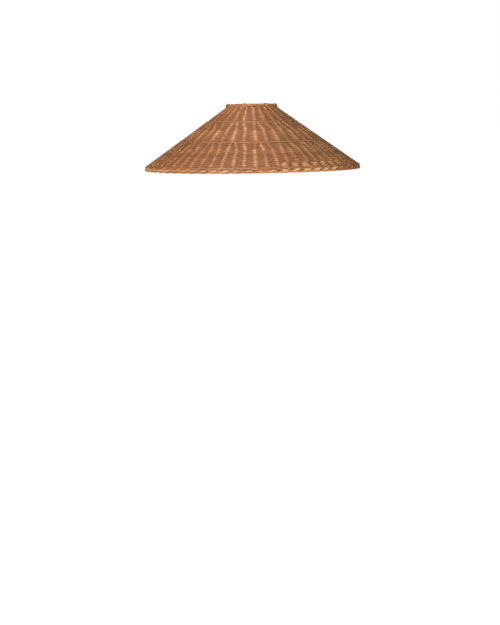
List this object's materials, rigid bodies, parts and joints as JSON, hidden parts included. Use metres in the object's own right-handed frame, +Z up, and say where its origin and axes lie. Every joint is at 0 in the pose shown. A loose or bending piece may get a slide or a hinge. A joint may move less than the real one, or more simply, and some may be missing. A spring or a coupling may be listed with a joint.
{
  "type": "lamp shade",
  "caption": "Hand-woven rattan cone shade with a rolled rim and an open top, tied to a wire frame with a dropped lampholder ring.",
  "frame": {"origin": "on the shade's axis, in the plane the rim rests on", "axes": "+Z up along the shade's axis, from the rim towards the open top; the shade is round, and -Y is the side that faces the viewer"},
  "size_m": [0.4802, 0.4802, 0.1456],
  "materials": {
    "rattan_weave": "satin, honey-brown rattan core, lightly varnished",
    "rattan_waling": "satin, paler rattan strands",
    "rattan_border": "satin, honey-brown rattan stakes bent and rolled",
    "cane_lashing": "satin, thin split cane",
    "frame_wire": "satin dark brown coated steel wire",
    "fitter_metal": "satin dark brown coated steel"
  },
  "bodies": {
    "root": {"woven_panel_upper": "rattan_weave", "woven_panel_middle": "rattan_weave", "woven_panel_lower": "rattan_weave", "waling_upper": "rattan_waling", "waling_lower": "rattan_waling", "top_border": "rattan_border", "rim_border": "rattan_border", "top_ring": "frame_wire", "rim_ring": "frame_wire", "frame_strut_1": "frame_wire", "frame_strut_2": "frame_wire", "frame_strut_3": "frame_wire", "frame_strut_4": "frame_wire", "frame_strut_5": "frame_wire", "frame_strut_6": "frame_wire", "fitter_ring": "fitter_metal", "fitter_arm_1": "fitter_metal", "fitter_arm_2": "fitter_metal", "fitter_arm_3": "fitter_metal", "rim_lashing_1": "cane_lashing", "rim_lashing_2": "cane_lashing", "rim_lashing_3": "cane_lashing", "rim_lashing_4": "cane_lashing", "rim_lashing_5": "cane_lashing", "rim_lashing_6": "cane_lashing", "top_lashing_1": "cane_lashing", "top_lashing_2": "cane_lashing", "top_lashing_3": "cane_lashing", "top_lashing_4": "cane_lashing", "top_lashing_5": "cane_lashing", "top_lashing_6": "cane_lashing"}
  },
  "joints": []
}
